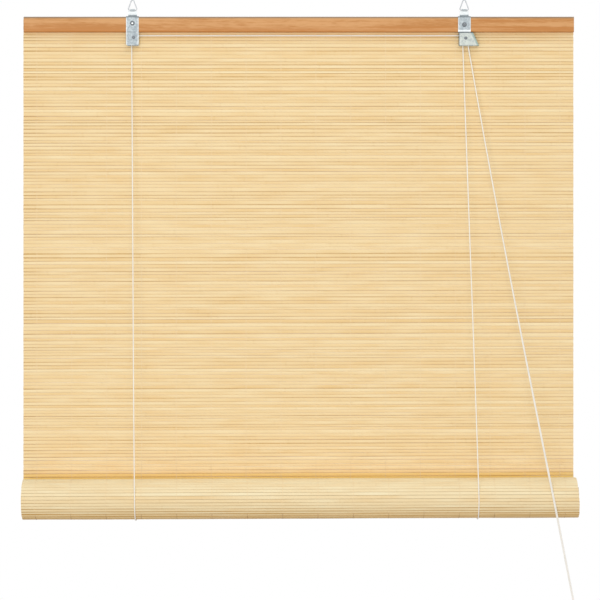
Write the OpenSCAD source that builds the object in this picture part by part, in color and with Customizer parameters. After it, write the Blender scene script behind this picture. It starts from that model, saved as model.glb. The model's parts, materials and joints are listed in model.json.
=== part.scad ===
// Bamboo roll up blind: a slat mat on a wooden head rail, wound from below in two cord slings.
// The frame: +X to the viewer's right along the rail, +Y to the back, +Z up.
// The origin lies midway between the two rings, at the height where their hooks bear.

/* [Blind] */
// Width of the mat and the roll
blind_w = 1000; // [900:10:1200]
// Full length of the mat
mat_len = 1600; // [1450:10:1700]
// Height from the rail's top down to the roll's axis
roll_drop = 871.1; // [800:0.1:950]

/* [Head rail] */
// Height of the rail
rail_h = 27.5; // [26:0.5:32]
// Thickness of the rail
rail_t = 12; // [11:0.5:16]
// Rounding of the rail's long edges
rail_edge = 1.5; // [1:0.1:2]
// How much shorter the rail is than the mat's width
rail_short = 2; // [0:0.5:6]
// How far the rail sits to the right of the mat's middle
rail_shift = 0.7; // [0:0.1:2]

/* [Slat mat] */
// Distance from slat to slat
slat_pitch = 5.9; // [5:0.1:7]
// Gap between two slats
slat_gap = 0.5; // [0.4:0.05:0.8]
// Thickness of the mat over its slats
mat_t = 2.2; // [1.8:0.1:2.3]
// Thickness left between two slats
web_t = 0.8; // [0.6:0.1:1]
// Number of binding threads
thread_count = 16; // [12:2:18]
// Distance from the mat's edge to the first thread
thread_inset = 24.5; // [15:0.5:35]
// Width of a thread
thread_w = 0.8; // [0.6:0.1:1.2]
// How far a thread stands out of the slats
thread_t = 0.3; // [0.2:0.05:0.4]
// Slats from one row of light gaps to the next
gap_every = 18; // [18:1:30]
// Height of a light gap
gap_h = 0.3; // [0.2:0.05:0.35]
// Distance from a light gap's end to its thread
gap_margin = 3; // [2:0.5:8]

/* [Roll] */
// Outer radius of the roll
roll_r = 37.5; // [36:0.1:40]
// Distance from turn to turn of the roll
turn_pitch = 2.6; // [2.5:0.05:2.9]
// How far the roll has crept to the right of the mat
roll_drift = 3.5; // [0:0.5:6]
// Width of the batten at the mat's lower end
batten_w = 18; // [12:1:22]
// Thickness of that batten
batten_t = 6; // [4:0.5:8]

/* [Hangers and rings] */
// Distance from the mat's edge to the middle of the hanger
hanger_inset = 199; // [160:0.1:250]
// Width of a hanger strap
hanger_w = 23; // [21:0.5:26]
// Thickness of the zinc sheet
sheet_t = 1; // [0.8:0.1:1.2]
// Width of the tab above the rail
tab_w = 16; // [12:0.5:18]
// Width of the rolled eye
eye_w = 9; // [7:0.5:9.2]
// Height of the eye's axis above the rail
eye_rise = 12.4; // [11:0.1:14]
// Width of a ring, between wire centres
ring_w = 15; // [15:0.5:18]
// Height of a ring, between wire centres
ring_h = 18.4; // [16:0.2:22]
// Corner radius of a ring, at the wire's centre
ring_corner = 2.6; // [2.2:0.1:2.8]
// Diameter of the ring wire
wire_d = 2.2; // [1.8:0.1:2.4]
// Height from the rail's top down to the left hanger's screw
left_screw_drop = 11.9; // [10:0.1:16]
// Height from the rail's top down to the right hanger's screw
right_screw_drop = 14.6; // [10:0.1:18]
// Diameter of a hanger screw's shank
screw_d = 3; // [2.5:0.1:3.5]
// Diameter of its head
screw_head_d = 7.4; // [6:0.1:8]
// Length of its shank below the strap
screw_len = 9; // [6:0.5:10]

/* [Pulley box and cord lock] */
// Depth inside the box and the lock
box_depth = 9; // [9:0.5:11]
// Height of the left pulley box
box_h = 24.5; // [22:0.5:28]
// Corner radius at the foot of the left hanger
foot_r = 3; // [1:0.5:5]
// Diameter of a pulley axle
axle_d = 3; // [2.4:0.1:3.2]
// Diameter of the axle's rivet heads
rivet_d = 4.6; // [4:0.1:5.4]
// Height from the rail's top down to the cord between the pulleys
cord_line_drop = 33.9; // [33.5:0.1:36]
// Radius of the cord on the left pulley
left_cord_r = 3.9; // [3.6:0.1:4.4]
// Radius of the cord on the right pulley
right_cord_r = 5; // [4.6:0.1:5.2]
// Left axle, to the right of its hanger's middle
left_axle_shift = 2.2; // [1:0.1:3]
// Right axle, to the right of its hanger's middle
right_axle_shift = 2.4; // [1:0.1:3]
// Lock's left edge, to the left of its hanger's middle
lock_left = 9.8; // [9.4:0.1:11]
// Lock's upper right corner, to the right of its hanger's middle
lock_top_right = 15.4; // [15:0.1:17]
// Lock's lower right corner, to the right of its hanger's middle
lock_foot_right = 26.4; // [26:0.1:29]
// Height of the lock
lock_h = 24; // [23:0.5:27]
// Width of the lip that carries the lock's roller
lip_w = 10; // [8:0.5:10.5]
// Radius of the lock's roller
roller_r = 4.2; // [4:0.1:4.4]

/* [Cords] */
// Diameter of the cord
cord_d = 2; // [1.6:0.1:2.2]
// Left sling, to the right of its hanger's middle
left_sling_shift = 8; // [0:0.1:20]
// Right sling, to the right of its hanger's middle
right_sling_shift = 22; // [4:0.1:34]
// Pull cord where it leaves the roll, from the blind's right end
pull_inset = 44.2; // [40:0.1:70]
// How far the pull cord leads to the right below the roll
pull_lead = 37.5; // [20:0.5:40]
// Height from the roll's axis down to the pull cord's knot
pull_fall = 194; // [150:1:220]
// How much the taut cords in front bow towards the viewer
strand_bow = 52; // [45:1:60]
// How far the slanted pull cord sags to the left of a straight line
pull_sag = 3.3; // [0:0.1:6]

/* [Hidden] */
$fn = 48;

// Colours
rail_colour = [0.84, 0.61, 0.39];
mat_colour = [0.95, 0.83, 0.63];
roll_colour = [0.94, 0.86, 0.7];
zinc_colour = [0.76, 0.8, 0.82];
cord_colour = [0.96, 0.9, 0.8];
thread_colour = [0.9, 0.8, 0.62];
batten_colour = [0.8, 0.62, 0.42];

// Clearances
soft_gap = 0.3;
running_gap = 0.05;
groove_gap = 0.15;
hole_gap = 0.1;
overrun = 1;

// Heights, from the hooks down
wire_r = wire_d / 2;
cord_r = cord_d / 2;
bar_z = wire_r - ring_h;
rail_top = bar_z - eye_rise;
rail_foot = rail_top - rail_h;
cord_line_z = rail_top - cord_line_drop;
roll_z = rail_top - roll_drop;

// Places along the rail, from its middle
hanger_x = blind_w / 2 - hanger_inset;
left_sling_x = left_sling_shift - hanger_x;
right_sling_x = hanger_x + right_sling_shift;
pull_exit_x = blind_w / 2 - pull_inset;

// Depths, from the front back
rail_front = -rail_t / 2;
rail_back = rail_t / 2;
mat_front = rail_back + thread_t;
mat_back = mat_front + mat_t;
mat_mid = (mat_front + mat_back) / 2;
roll_y = mat_back - roll_r;
strap_front = rail_front - sheet_t;
box_back = rail_front + box_depth;
box_mid_y = (rail_front + box_back) / 2;
groove_wall = 0.6;
groove_step = cord_d + groove_wall;
front_groove_y = box_mid_y - groove_step / 2;
rear_groove_y = box_mid_y + groove_step / 2;

// Slats, counted from the roll's start: the panel upwards and the roll inwards
panel_slats = floor(roll_drop / slat_pitch);
roll_slats = floor((mat_len - roll_drop) / slat_pitch);
panel_top = roll_z + panel_slats * slat_pitch;
ridge_h = (mat_t - web_t) / 2;
gap_share = slat_gap / slat_pitch / 2;
thread_step = (blind_w - 2 * thread_inset) / (thread_count - 1);

// A slat's section: [share of the pitch, share of the ridge], crowned in front and flat behind
front_section = [[gap_share, 0], [gap_share + 0.08, 0.65], [0.32, 1],
    [0.68, 1], [0.92 - gap_share, 0.65], [1 - gap_share, 0]];
back_section = [[gap_share, 0], [gap_share + 0.06, 1], [0.94 - gap_share, 1], [1 - gap_share, 0]];

// The roll's spiral: radius at the mat's middle, and the angle at a given length along it
spiral_r = roll_r - mat_t / 2;
function spiral_angle(s) =
    let (shrink = turn_pitch / (2 * PI))
    (spiral_r - sqrt(spiral_r * spiral_r - 2 * shrink * s)) / shrink * 180 / PI;
function spiral_radius(angle) = spiral_r - turn_pitch * angle / 360;
// From the back (+Y) under the roll to the front
function around_roll(r, angle) = [r * cos(angle), -r * sin(angle)];
spiral_end = spiral_angle(roll_slats * slat_pitch);
core_r = spiral_radius(spiral_end) - mat_t / 2 - hole_gap;

// Staples
staple_wire = 0.8;
staple_drop = 20;
staple_leg = 7;
mat_staple_w = 8;
cord_staple_w = 2 * (cord_d + staple_wire);
cord_staple_drop = 14;
rear_top = rail_top - cord_staple_drop + staple_wire + 2 * cord_d;

// Screws, axles and sheaves
screw_r = screw_d / 2;
left_screw = [-hanger_x, rail_top - left_screw_drop];
right_screw = [hanger_x, rail_top - right_screw_drop];
screw_head_h = 2.2;
head_dome_r = 0.7 * screw_head_d;
recess_l = 2 / 3 * screw_head_d;
recess_w = 0.9;
recess_depth = 1.2;
axle_r = axle_d / 2;
rivet_h = 0.9;
left_axle = [-hanger_x + left_axle_shift, cord_line_z - left_cord_r];
right_axle = [hanger_x + right_axle_shift, cord_line_z - right_cord_r];
flange_h = 0.6;
bead_r = 0.6;
hub_play = 0.2;

// The lock: its slanted wall and the roller's seat on the lip
lock_top = rail_foot - sheet_t;
lock_foot = lock_top - lock_h;
slant = atan((lock_foot_right - lock_top_right) / lock_h);
slant_step = sheet_t / cos(slant);
roller_seat_z = lock_foot + sheet_t + roller_r + running_gap;
roller_wall_x = hanger_x + lock_top_right + (lock_top - roller_seat_z) * tan(slant) - slant_step;
roller_seat_x = roller_wall_x - (roller_r + hole_gap) / cos(slant);
roller_teeth = 18;
tooth_h = 0.3;

// The slings: the cord's centre round the roll
sling_r = roll_r + soft_gap + cord_r;
sling_front_y = roll_y - sling_r;
sling_back_y = roll_y + sling_r;

// Cord tubes
cord_sides = 8;
wire_sides = 12;
bend_steps = 6;
strand_steps = 12;
cord_exit_z = lock_foot - cord_d;
pull_steps = 8;
knot_bulge = 1.15;
knot_r = 4;
tail_len = 14;
tail_step = 1.2 * cord_d;
// The doubled pull cord: its left strand at the roll's front, and the right strand beside and behind it
pull_beside = [1.8, 1.2, 0];
pull_exit = [pull_exit_x, sling_front_y - pull_beside.y, roll_z];
pull_run = [pull_lead, 0, -pull_fall];
pull_drop = [0, 0, -cord_d];
knot_at = pull_exit + pull_run + pull_drop + pull_beside / 2;

function unit(v) = v / norm(v);
function along(p, i) = unit(p[min(i + 1, len(p) - 1)] - p[max(i - 1, 0)]);
function tube_ring(centre, ahead, r, sides) =
    let (u = unit(cross(ahead, [0, 1, 0])), v = cross(u, ahead))
    [for (k = [0 : sides - 1]) centre + r * (cos(360 * k / sides) * u + sin(360 * k / sides) * v)];

// Points of a taut strand from the roll's front up to a pulley, bowed forward near the roll and sagging
function strand(foot, head, sag) = [for (i = [0 : strand_steps])
    let (u = i / strand_steps)
    foot + (head - foot) * u - [4 * sag * u * (1 - u), strand_bow * u * pow(1 - u, 3), 0]];

// Points of one strand of the pull cord, from the roll's front down and upright into the knot
function pull_route(shift) = concat(
    [for (i = [0 : pull_steps]) pull_exit + shift + pull_run * i / pull_steps],
    [pull_exit + shift + pull_run + pull_drop]);

// A round tube along a list of points
module tube(p, r, sides = cord_sides) {
    last = (len(p) - 1) * sides;
    wall = [for (i = [0 : len(p) - 2], k = [0 : sides - 1])
        let (a = i * sides, n = (k + 1) % sides)
        [a + k, a + n, a + sides + n, a + sides + k]];
    polyhedron(
        [for (i = [0 : len(p) - 1]) each tube_ring(p[i], along(p, i), r, sides)],
        concat(wall,
            [[for (k = [sides - 1 : -1 : 0]) k]],
            [[for (k = [0 : sides - 1]) last + k]]));
}

// A Y-Z section carried along X, w wide about x
module along_x(x, w) {
    translate([x - w / 2, 0, 0]) rotate([90, 0, 90]) linear_extrude(w) children();
}

// An X-Z outline carried back from y, t deep
module along_y(y, t) {
    translate([0, y + t, 0]) rotate([90, 0, 0]) linear_extrude(t) children();
}

// A round rod along Y
module rod_y(x, y, z, r, l) {
    translate([x, y, z]) rotate([-90, 0, 0]) cylinder(r = r, h = l);
}

// A quarter turn of folded sheet, centred on its bend: 0 is up and right, then on anticlockwise
module bend(inner_r, quarter) {
    rotate(90 * quarter) intersection() {
        difference() {
            circle(inner_r + sheet_t);
            circle(inner_r);
        }
        square(inner_r + sheet_t);
    }
}

module rounded_section(w, h, r) {
    translate([-w / 2 + r, 0]) square([w - 2 * r, h]);
    translate([-w / 2, r]) square([w, h - 2 * r]);
    for (y = [r - w / 2, w / 2 - r], z = [r, h - r]) translate([y, z]) circle(r);
}

module head_rail() {
    color(rail_colour) difference() {
        translate([0, 0, rail_foot]) along_x(rail_shift, blind_w - rail_short)
            rounded_section(rail_t, rail_h, rail_edge);
        for (at = [left_screw, right_screw])
            rod_y(at.x, rail_front - overrun, at.y, screw_r + running_gap, screw_len + overrun + hole_gap);
    }
}

// Front and back of the hanging slats, from the roll's axis up
module panel_section() {
    polygon(concat(
        [for (i = [0 : panel_slats - 1], p = front_section)
            [mat_mid - web_t / 2 - ridge_h * p[1], roll_z + (i + p[0]) * slat_pitch]],
        [for (i = [panel_slats - 1 : -1 : 0], j = [len(back_section) - 1 : -1 : 0])
            let (p = back_section[j])
            [mat_mid + web_t / 2 + ridge_h * p[1], roll_z + (i + p[0]) * slat_pitch]]));
}

function thread_x(i) = thread_inset - blind_w / 2 + i * thread_step;

module light_gaps() {
    first = floor(gap_every / 2);
    last = panel_slats - ceil((rail_h + slat_pitch) / slat_pitch);
    gap_w = thread_step - 2 * gap_margin;
    for (row = [first : gap_every : last], i = [0 : thread_count - 2])
        translate([thread_x(i) + gap_margin, mat_front - overrun, roll_z + row * slat_pitch - gap_h / 2])
            cube([gap_w, mat_t + 2 * overrun, gap_h]);
}

module mat_panel() {
    color(mat_colour) difference() {
        along_x(0, blind_w) panel_section();
        light_gaps();
    }
}

module warp_threads() {
    edge = gap_share * slat_pitch;
    color(thread_colour)
        for (i = [0 : thread_count - 1], y = [mat_front - thread_t, mat_back])
            translate([thread_x(i) - thread_w / 2, y, roll_z + edge])
                cube([thread_w, thread_t, panel_top - roll_z - 2 * edge]);
}

// A staple with its crown behind y and its legs driven forward
module staple(x, y, z, w) {
    translate([x - w / 2, y, z]) cube([w, staple_wire, staple_wire]);
    for (leg = [-w / 2, w / 2 - staple_wire])
        translate([x + leg, rail_back - staple_leg, z])
            cube([staple_wire, y + staple_wire - rail_back + staple_leg, staple_wire]);
}

module mat_staples() {
    color(zinc_colour)
        for (i = [0 : 2 : thread_count - 2])
            staple(thread_x(i) + thread_step / 2, mat_back, rail_top - staple_drop, mat_staple_w);
}

module cord_staples() {
    color(zinc_colour)
        for (x = [left_sling_x, right_sling_x])
            staple(x, sling_back_y + cord_r + running_gap, rail_top - cord_staple_drop, cord_staple_w);
}

// The wound slats as one spiral ribbon, the mat's back outwards
module roll_section() {
    function at(s, rise) =
        let (a = spiral_angle(s))
        around_roll(spiral_radius(a) + rise, a);
    polygon(concat(
        [for (i = [0 : roll_slats - 1], p = back_section)
            at((i + p[0]) * slat_pitch, web_t / 2 + ridge_h * p[1])],
        [for (i = [roll_slats - 1 : -1 : 0], j = [len(front_section) - 1 : -1 : 0])
            let (p = front_section[j])
            at((i + p[0]) * slat_pitch, -web_t / 2 - ridge_h * p[1])]));
}

module mat_roll() {
    color(roll_colour) along_x(roll_drift, blind_w) translate([roll_y, roll_z]) roll_section();
}

// A strip with a round back that lies against the roll's innermost turn
module bottom_batten() {
    reach = asin(batten_w / 2 / core_r);
    color(batten_colour) along_x(roll_drift, blind_w)
        translate([roll_y, roll_z]) rotate(reach - spiral_end) intersection() {
            circle(core_r);
            translate([core_r - batten_t, -batten_w / 2]) square([batten_t, batten_w]);
        }
}

// The strap over the rail's top and down its front to foot_z, in Y and Z
module strap_section(foot_z) {
    fold_z = rail_top - rail_edge;
    translate([strap_front, foot_z]) square([sheet_t, fold_z - foot_z]);
    translate([rail_front + rail_edge, fold_z]) bend(rail_edge, 1);
    translate([rail_front + rail_edge, rail_top])
        square([-rail_front - rail_edge - 2 * sheet_t, sheet_t]);
}

// The tab that turns up out of the strap, in Y and Z
module tab_section(top_z) {
    inner_r = sheet_t / 2;
    turn_z = rail_top + sheet_t + inner_r;
    translate([-2 * sheet_t, rail_top]) square([sheet_t, sheet_t]);
    translate([-sheet_t, turn_z]) bend(inner_r, 3);
    translate([-sheet_t / 2, turn_z]) square([sheet_t, top_z - turn_z]);
}

// Tab and rolled eye round the ring's bar
module hanger_tab(x) {
    shoulder_z = bar_z - wire_r - 2 * soft_gap;
    eye_r = wire_r + running_gap;
    along_x(x, tab_w) tab_section(shoulder_z);
    along_x(x, eye_w) {
        translate([-sheet_t / 2, shoulder_z])
            square([sheet_t, bar_z - eye_r - sheet_t / 2 - shoulder_z]);
        translate([0, bar_z]) difference() {
            circle(eye_r + sheet_t);
            circle(eye_r);
        }
    }
}

module left_hanger() {
    foot_z = rail_foot - box_h;
    x = -hanger_x;
    color(zinc_colour) difference() {
        union() {
            intersection() {
                along_x(x, hanger_w) strap_section(foot_z);
                along_y(strap_front, rail_t) translate([x, foot_z])
                    rounded_section(hanger_w, rail_top + 2 * sheet_t + foot_r - foot_z, foot_r);
            }
            hanger_tab(x);
            // a pressed bead where the strap passes the rail's foot
            translate([x - hanger_w / 2 + bead_r, strap_front, rail_foot])
                rotate([0, 90, 0]) cylinder(r = bead_r, h = hanger_w - 2 * bead_r);
        }
        rod_y(x, strap_front - overrun, left_screw.y, screw_r + hole_gap, sheet_t + 2 * overrun);
        rod_y(left_axle.x, strap_front - overrun, left_axle.y, axle_r + running_gap,
            sheet_t + 2 * overrun);
    }
}

module right_hanger() {
    x = hanger_x;
    fold_z = rail_foot + rail_edge;
    color(zinc_colour) difference() {
        union() {
            along_x(x, hanger_w) {
                strap_section(fold_z);
                translate([rail_front + rail_edge, fold_z]) bend(rail_edge, 2);
                translate([rail_front + rail_edge, rail_foot - sheet_t])
                    square([box_back + sheet_t - rail_front - rail_edge, sheet_t]);
            }
            hanger_tab(x);
        }
        rod_y(x, strap_front - overrun, right_screw.y, screw_r + hole_gap, sheet_t + 2 * overrun);
    }
}

// A pan head wood screw with a cross recess
module hanger_screw(at) {
    color(zinc_colour) translate([at.x, strap_front, at.y]) rotate([90, 0, 0]) {
        difference() {
            rotate_extrude() intersection() {
                square([screw_head_d / 2, screw_head_h]);
                translate([0, screw_head_h - head_dome_r]) circle(head_dome_r);
            }
            for (turn = [0, 90]) rotate(turn + 45)
                translate([-recess_l / 2, -recess_w / 2, screw_head_h - recess_depth])
                    cube([recess_l, recess_w, recess_depth + overrun]);
        }
        translate([0, 0, -sheet_t - screw_len]) {
            cylinder(r1 = screw_r / 4, r2 = screw_r, h = screw_r);
            translate([0, 0, screw_r]) cylinder(r = screw_r, h = sheet_t + screw_len - screw_r);
        }
    }
}

module left_hanger_screw() { hanger_screw(left_screw); }

module right_hanger_screw() { hanger_screw(right_screw); }

// Points on a ring's corner, at the wire's centre
function ring_bend(at, from, to) = [for (i = [0 : bend_steps])
    let (a = from + (to - from) * i / bend_steps)
    [at.x + ring_corner * cos(a), 0, at.y + ring_corner * sin(a)]];

// A triangular ring with its bar in the hanger's eye and its point up
module hanger_ring(x) {
    left = [ring_corner - ring_w / 2, bar_z + ring_corner];
    top = [0, wire_r - ring_corner];
    lean = atan2(top.y - left.y, top.x - left.x);
    seat = left.x + wire_r / 2;
    wire = concat([[seat, 0, bar_z]],
        ring_bend(left, 270, 90 + lean),
        ring_bend(top, 90 + lean, 90 - lean),
        ring_bend([-left.x, left.y], 90 - lean, -90),
        [[-seat, 0, bar_z]]);
    color(zinc_colour) translate([x, 0, 0]) {
        translate([left.x, 0, bar_z]) rotate([0, 90, 0]) cylinder(r = wire_r, h = -2 * left.x);
        tube(wire, wire_r - running_gap, wire_sides);
    }
}

module left_ring() { hanger_ring(-hanger_x); }

module right_ring() { hanger_ring(hanger_x); }

// A window for the cord that crosses below the rail
module cord_window(x) {
    window = 3 * cord_d;
    translate([x - overrun, rear_groove_y - window / 2, cord_line_z - window / 2])
        cube([sheet_t + 2 * overrun, window, window]);
}

module left_pulley_box() {
    x = -hanger_x;
    left_x = x - hanger_w / 2;
    right_x = x + hanger_w / 2 - sheet_t;
    color(zinc_colour) difference() {
        union() {
            along_y(box_back, sheet_t) translate([x, rail_foot - box_h]) intersection() {
                rounded_section(hanger_w, box_h + foot_r, foot_r);
                translate([-hanger_w / 2, 0]) square([hanger_w, box_h]);
            }
            translate([left_x, rail_front, rail_foot - sheet_t]) cube([hanger_w, box_depth, sheet_t]);
            for (wall_x = [left_x, right_x])
                translate([wall_x, rail_front, rail_foot - box_h + foot_r])
                    cube([sheet_t, box_depth, box_h - foot_r]);
        }
        cord_window(right_x);
        rod_y(left_axle.x, box_back - overrun, left_axle.y, axle_r + running_gap,
            sheet_t + 2 * overrun);
    }
}

// The lock's front outline, with its right wall slanted outwards
module lock_outline() {
    polygon([[hanger_x - lock_left, lock_top], [hanger_x + lock_top_right, lock_top],
        [hanger_x + lock_foot_right, lock_foot], [hanger_x - lock_left, lock_foot]]);
}

module lock_walls() {
    run = lock_h + overrun - sheet_t;
    inner_right = hanger_x + lock_top_right + sheet_t * tan(slant) - slant_step;
    difference() {
        lock_outline();
        polygon([[hanger_x - lock_left + sheet_t, lock_top - sheet_t], [inner_right, lock_top - sheet_t],
            [inner_right + run * tan(slant), lock_foot - overrun],
            [hanger_x - lock_left + sheet_t, lock_foot - overrun]]);
    }
    translate([hanger_x + lock_foot_right - slant_step - lip_w, lock_foot]) square([lip_w, sheet_t]);
}

module lock_housing() {
    color(zinc_colour) difference() {
        union() {
            for (y = [strap_front, box_back]) along_y(y, sheet_t) lock_outline();
            along_y(rail_front, box_depth) lock_walls();
        }
        cord_window(hanger_x - lock_left);
        rod_y(right_axle.x, strap_front - overrun, right_axle.y, axle_r + running_gap,
            box_depth + 2 * sheet_t + 2 * overrun);
    }
}

// A riveted axle with a domed head on each side
module axle_rivet(at) {
    length = box_depth + 2 * sheet_t;
    dome_r = (rivet_d * rivet_d / 4 + rivet_h * rivet_h) / (2 * rivet_h);
    color(zinc_colour) translate([at.x, strap_front, at.y]) rotate([-90, 0, 0]) rotate_extrude() {
        square([axle_r, length]);
        intersection() {
            translate([0, dome_r - rivet_h]) circle(dome_r);
            translate([0, -rivet_h]) square([rivet_d / 2, rivet_h]);
        }
        intersection() {
            translate([0, length + rivet_h - dome_r]) circle(dome_r);
            translate([0, length]) square([rivet_d / 2, rivet_h]);
        }
    }
}

module left_axle() { axle_rivet(left_axle); }

module right_axle() { axle_rivet(right_axle); }

// A sheave with one groove for each cord in the list of depths
module sheave(at, r, grooves) {
    rim_r = r + cord_r + flange_h;
    groove_w = cord_d + 2 * groove_gap;
    rim_front = min(grooves) - cord_d;
    rim_w = max(grooves) - min(grooves) + 2 * cord_d;
    hub_w = box_depth - 2 * hub_play;
    translate([at.x, 0, at.y]) rotate([-90, 0, 0]) rotate_extrude() difference() {
        union() {
            translate([0, rim_front]) square([rim_r, rim_w]);
            translate([0, rail_front + hub_play]) square([axle_r + sheet_t, hub_w]);
        }
        translate([0, rail_front]) square([axle_r + running_gap, box_depth]);
        for (y = grooves) {
            translate([r, y]) circle(groove_w / 2);
            translate([r, y - groove_w / 2]) square([cord_d + flange_h, groove_w]);
        }
    }
}

module left_pulley() { color(zinc_colour) sheave(left_axle, left_cord_r, [rear_groove_y]); }

module right_pulley() {
    color(zinc_colour) sheave(right_axle, right_cord_r, [front_groove_y, rear_groove_y]);
}

// A knurled roller that lies on the lip, against the slanted wall
module lock_roller() {
    teeth = [for (i = [0 : 2 * roller_teeth - 1])
        let (r = roller_r - (i % 2) * tooth_h, a = 180 * i / roller_teeth)
        [roller_seat_x + r * cos(a), roller_seat_z + r * sin(a)]];
    color(zinc_colour) along_y(rail_front + hub_play, box_depth - 2 * hub_play) polygon(teeth);
}

// Cord round part of a sheave, from an angle in the X-Z plane
module cord_turn(at, y, r, from, turn) {
    translate([at.x, y, at.y]) rotate([90, 0, 0]) rotate(from)
        rotate_extrude(angle = turn) translate([r, 0]) circle(cord_r);
}

module transfer_cord() {
    color(cord_colour) {
        cord_turn(left_axle, rear_groove_y, left_cord_r, 90, 90);
        translate([left_axle.x, rear_groove_y, cord_line_z]) rotate([0, 90, 0])
            cylinder(r = cord_r, h = right_axle.x - left_axle.x);
        cord_turn(right_axle, rear_groove_y, right_cord_r, 0, 90);
    }
}

module right_lift_wrap() { color(cord_colour) cord_turn(right_axle, front_groove_y, right_cord_r, 0, 180); }

// A taut cord from the roll's front up into a groove, upright where it passes the sheave
module taut_cord(foot, x, groove_y, axle_z, sag = 0) {
    run = strand(foot + [0, 0, soft_gap], [x, groove_y, cord_exit_z], sag);
    rise = [for (z = [(cord_exit_z + axle_z) / 2, axle_z]) [x, groove_y, z]];
    color(cord_colour) tube(concat(run, rise), cord_r);
}

module left_front_strand() {
    taut_cord([left_sling_x, sling_front_y, roll_z], left_axle.x - left_cord_r, rear_groove_y, left_axle.y);
}

module right_front_strand() {
    taut_cord([right_sling_x, sling_front_y, roll_z], right_axle.x - right_cord_r, front_groove_y,
        right_axle.y);
}

// The sling under the roll, from its front round to its back
module bight(x) {
    color(cord_colour) translate([x, roll_y, roll_z]) rotate([90, 0, 90]) rotate(180)
        rotate_extrude(angle = 180) translate([sling_r, 0]) circle(cord_r);
}

module left_bight() { bight(left_sling_x); }

module right_bight() { bight(right_sling_x); }

module rear_strand(x) {
    foot_z = roll_z + soft_gap;
    color(cord_colour) translate([x, sling_back_y, foot_z]) cylinder(r = cord_r, h = rear_top - foot_z);
}

module left_rear_strand() { rear_strand(left_sling_x); }

module right_rear_strand() { rear_strand(right_sling_x); }

// A round knot, w across and w high, with its flat foot at z = 0
module knot(w) {
    rotate_extrude() intersection() {
        translate([0, w / 2]) circle(w / 2 * knot_bulge);
        square([w / 2, w]);
    }
}

module rear_knot(x) {
    color(cord_colour) translate([x, sling_back_y + cord_r, rear_top]) knot(2 * cord_d);
}

module left_rear_knot() { rear_knot(left_sling_x); }

module right_rear_knot() { rear_knot(right_sling_x); }

module pull_left_upper() {
    taut_cord(pull_exit, right_axle.x + right_cord_r, front_groove_y, right_axle.y, pull_sag);
}

module pull_right_upper() {
    taut_cord(pull_exit + pull_beside, right_axle.x + right_cord_r, rear_groove_y, right_axle.y, pull_sag);
}

module pull_left_lower() { color(cord_colour) tube(pull_route([0, 0, 0]), cord_r); }

module pull_right_lower() { color(cord_colour) tube(pull_route(pull_beside), cord_r); }

module pull_knot() {
    color(cord_colour) translate(knot_at - [0, 0, 2 * knot_r + running_gap]) {
        knot(2 * knot_r);
        for (x = [-tail_step / 2, tail_step / 2])
            translate([x, 0, -tail_len]) cylinder(r = cord_r, h = tail_len + overrun);
    }
}

head_rail();
mat_panel();
warp_threads();
mat_staples();
mat_roll();
bottom_batten();
left_hanger();
right_hanger();
left_hanger_screw();
right_hanger_screw();
left_ring();
right_ring();
left_pulley_box();
lock_housing();
left_axle();
right_axle();
left_pulley();
right_pulley();
lock_roller();
transfer_cord();
right_lift_wrap();
left_front_strand();
right_front_strand();
left_bight();
right_bight();
left_rear_strand();
right_rear_strand();
left_rear_knot();
right_rear_knot();
cord_staples();
pull_left_upper();
pull_right_upper();
pull_left_lower();
pull_right_lower();
pull_knot();
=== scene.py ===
"""Dresses the bamboo roll up blind: slats, threads, cords, knots, rings and finishes over its CAD frame."""

import json
import math

import bmesh
import bpy
import numpy as np
from bpy.props import FloatProperty, FloatVectorProperty, IntProperty, PointerProperty
from bpy.types import Operator, Panel, PropertyGroup
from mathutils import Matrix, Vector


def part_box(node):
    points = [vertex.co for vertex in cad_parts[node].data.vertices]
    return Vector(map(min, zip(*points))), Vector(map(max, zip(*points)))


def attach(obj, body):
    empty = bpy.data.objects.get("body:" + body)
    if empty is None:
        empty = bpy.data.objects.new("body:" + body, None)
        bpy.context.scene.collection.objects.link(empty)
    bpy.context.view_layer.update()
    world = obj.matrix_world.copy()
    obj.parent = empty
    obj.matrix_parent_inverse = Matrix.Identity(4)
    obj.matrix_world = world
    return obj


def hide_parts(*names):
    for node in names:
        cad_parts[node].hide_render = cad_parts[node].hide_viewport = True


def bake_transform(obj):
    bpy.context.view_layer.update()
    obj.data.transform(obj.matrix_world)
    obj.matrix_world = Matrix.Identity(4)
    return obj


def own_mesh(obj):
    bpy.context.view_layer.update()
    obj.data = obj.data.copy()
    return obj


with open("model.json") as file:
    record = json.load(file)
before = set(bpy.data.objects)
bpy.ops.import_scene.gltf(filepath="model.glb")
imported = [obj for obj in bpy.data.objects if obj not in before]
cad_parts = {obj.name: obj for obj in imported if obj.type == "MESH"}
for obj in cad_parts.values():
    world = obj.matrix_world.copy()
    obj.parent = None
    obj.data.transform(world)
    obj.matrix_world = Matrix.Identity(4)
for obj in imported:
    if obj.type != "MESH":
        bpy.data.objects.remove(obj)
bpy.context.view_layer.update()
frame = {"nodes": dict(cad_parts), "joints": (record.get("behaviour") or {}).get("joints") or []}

bl_info = {
    "name": "Bamboo roll up blind",
    "version": (1, 0, 0),
    "blender": (4, 5, 0),
    "location": "3D View > Sidebar > Blind",
    "description": "Slats, threads, cords and finishes of a bamboo roll up blind",
    "category": "Object",
}

JOINTS = {joint["name"]: joint for joint in frame["joints"]}
# The roll's axis, where its spin joint stands
ROLL_AXIS = JOINTS["roll_spin"]["pos_m"]
UP = (0.0, 0.0, 1.0)


def length(label, description, default):
    """A size in metres that a user may change."""
    return FloatProperty(name=label, description=description, default=default, precision=5, unit="LENGTH")


def colour(label, description, default):
    """A colour as it looks on a screen."""
    return FloatVectorProperty(
        name=label, description=description, default=[c / 255 for c in default], size=3, min=0, max=1,
        subtype="COLOR_GAMMA",
    )


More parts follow.
